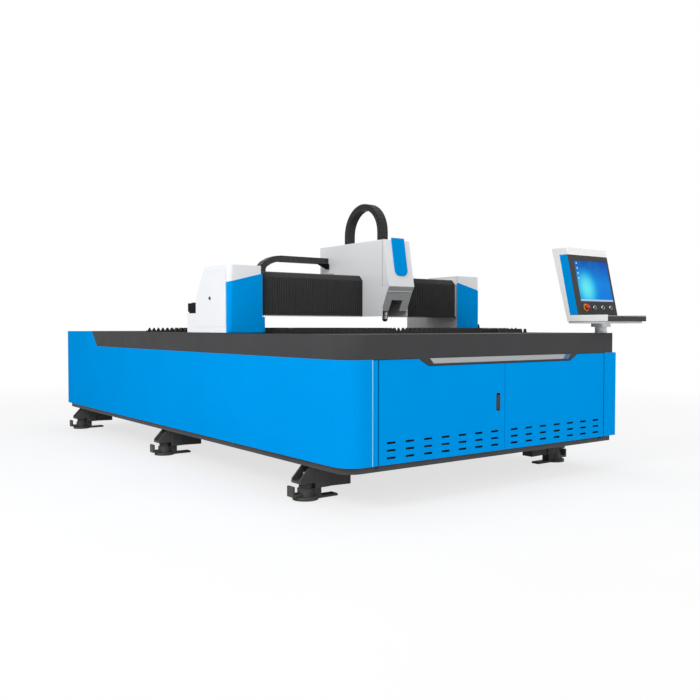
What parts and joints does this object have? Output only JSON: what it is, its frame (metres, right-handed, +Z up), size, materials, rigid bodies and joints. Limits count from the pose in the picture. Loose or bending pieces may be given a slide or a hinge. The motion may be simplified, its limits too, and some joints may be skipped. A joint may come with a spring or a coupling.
{
  "type": "flatbed laser cutting machine",
  "caption": "Open-bed sheet laser cutter: clad bed with a slat table, travelling gantry with bellows, lifting head and a swivelling control console.",
  "frame": {"origin": "on the floor at the centre of the pattern of floor anchors", "axes": "+Y along the bed from the door end to the rear, +Z up, +X towards the console's side"},
  "size_m": [2.461, 4.819, 1.899],
  "materials": {
    "frame_paint": "matt dark grey",
    "panel_blue": "satin blue powder coat",
    "band_grey": "fine textured dark grey",
    "trim": "satin",
    "deck_paint": "fine textured dark grey",
    "slat_steel": "scorched",
    "pan_paint": "matt",
    "rail_steel": "ground",
    "foot_black": "black",
    "bolt_steel": "zinc",
    "cabinet_grey": "satin",
    "post_grey": "satin",
    "handle_black": "matt",
    "beam_paint": "matt",
    "block_steel": "ground",
    "cover_white": "satin white",
    "motor_black": "satin black",
    "bellows_black": "matt",
    "chain_black": "matt",
    "carriage_grey": "machined",
    "guard_grey": "satin",
    "head_metal": "anodised",
    "nozzle_steel": "turned",
    "console_grey": "satin dark grey",
    "screen_glass": "lit screen",
    "stop_red": "gloss",
    "button_silver": "bright"
  },
  "bodies": {
    "bed": {"base_frame": "frame_paint", "side_beams": "frame_paint", "frame_posts": "frame_paint", "cross_members": "frame_paint", "side_panel_left": "panel_blue", "side_panel_right": "panel_blue", "rear_panel": "panel_blue", "guard_band": "band_grey", "trim_bar": "trim", "end_decks": "deck_paint", "slat_frame": "deck_paint", "slats": "slat_steel", "spark_pan": "pan_paint", "guide_rails": "rail_steel", "foot_brackets": "foot_black", "foot_pads": "foot_black", "levelling_bolts": "bolt_steel", "door_frame": "panel_blue", "cabinets": "cabinet_grey", "console_post": "post_grey"},
    "left_leaf": {"door_left": "panel_blue", "handle_tray": "handle_black"},
    "right_leaf": {"door_right": "panel_blue"},
    "handle": {"handle_lever": "handle_black"},
    "gantry": {"gantry_columns": "beam_paint", "slider_blocks": "block_steel", "beam": "beam_paint", "beam_guides": "rail_steel", "cover_left": "cover_white", "cover_right": "cover_white", "cover_fronts": "panel_blue", "service_panels": "cover_white", "drive_motors": "motor_black", "bellows_left": "bellows_black", "bellows_right": "bellows_black", "chain_tray": "motor_black", "chain_lower_run": "chain_black"},
    "bend": {"chain_bend": "chain_black"},
    "carriage": {"carriage_plate": "carriage_grey", "chain_upper_run": "chain_black", "chain_bracket": "carriage_grey", "head_cover": "cover_white", "head_front": "cover_white", "head_badge": "panel_blue", "head_guard": "guard_grey", "arch_chain": "chain_black", "carriage_motors": "motor_black"},
    "lift": {"lift_slide": "block_steel", "cutting_head": "head_metal", "nozzle": "nozzle_steel"},
    "console": {"console_base": "post_grey", "console_shell": "cover_white", "console_box": "panel_blue", "console_panel": "console_grey", "screen": "screen_glass", "keyboard_tray": "console_grey"},
    "stop": {"emergency_stop": "stop_red"},
    "button_1": {"push_button_1": "button_silver"},
    "button_2": {"push_button_2": "button_silver"},
    "button_3": {"push_button_3": "button_silver"}
  },
  "joints": [
    {"name": "gantry_slide", "type": "slide", "parent": "bed", "child": "gantry", "axis": [0, 1, 0], "range_m": [-0.6, 2.4]},
    {"name": "carriage_slide", "type": "slide", "parent": "gantry", "child": "carriage", "axis": [1, 0, 0], "range_m": [-0.78, 0.668], "deforming": ["bellows_left", "bellows_right", "chain_upper_run", "chain_lower_run"]},
    {"name": "chain_bend_slide", "type": "slide", "parent": "gantry", "child": "bend", "axis": [1, 0, 0], "range_m": [-0.39, 0.334]},
    {"name": "head_lift", "type": "slide", "parent": "carriage", "child": "lift", "axis": [0, 0, 1], "range_m": [-0.035, 0.06], "deforming": ["arch_chain"]},
    {"name": "door_left_hinge", "type": "hinge", "parent": "bed", "child": "left_leaf", "pos_m": [-0.924, -2.454, 0.24], "axis": [0, 0, -1], "range_deg": [0, 110]},
    {"name": "door_right_hinge", "type": "hinge", "parent": "bed", "child": "right_leaf", "pos_m": [1.006, -2.454, 0.24], "axis": [0, 0, 1], "range_deg": [0, 110]},
    {"name": "handle_swing", "type": "hinge", "parent": "left_leaf", "child": "handle", "pos_m": [-0.016, -2.4615, 0.572], "axis": [-1, 0, 0], "range_deg": [0, 70]},
    {"name": "console_swivel", "type": "hinge", "parent": "bed", "child": "console", "pos_m": [1.05, -2.413, 0.984], "axis": [0, 0, 1], "range_deg": [-75, 75]},
    {"name": "estop_press", "type": "slide", "parent": "console", "child": "stop", "axis": [0, 0.9751, -0.2215], "range_m": [0, 0.005], "stiffness_N_per_m": 900, "springref_m": -0.003},
    {"name": "button_1_press", "type": "slide", "parent": "console", "child": "button_1", "axis": [0, 0.9751, -0.2215], "range_m": [0, 0.004], "stiffness_N_per_m": 900, "springref_m": -0.002},
    {"name": "button_2_press", "type": "slide", "parent": "console", "child": "button_2", "axis": [0, 0.9751, -0.2215], "range_m": [0, 0.004], "stiffness_N_per_m": 900, "springref_m": -0.002},
    {"name": "button_3_press", "type": "slide", "parent": "console", "child": "button_3", "axis": [0, 0.9751, -0.2215], "range_m": [0, 0.004], "stiffness_N_per_m": 900, "springref_m": -0.002}
  ],
  "couplings": [
    {"joint": "chain_bend_slide", "follows": "carriage_slide", "ratio": 0.5}
  ]
}
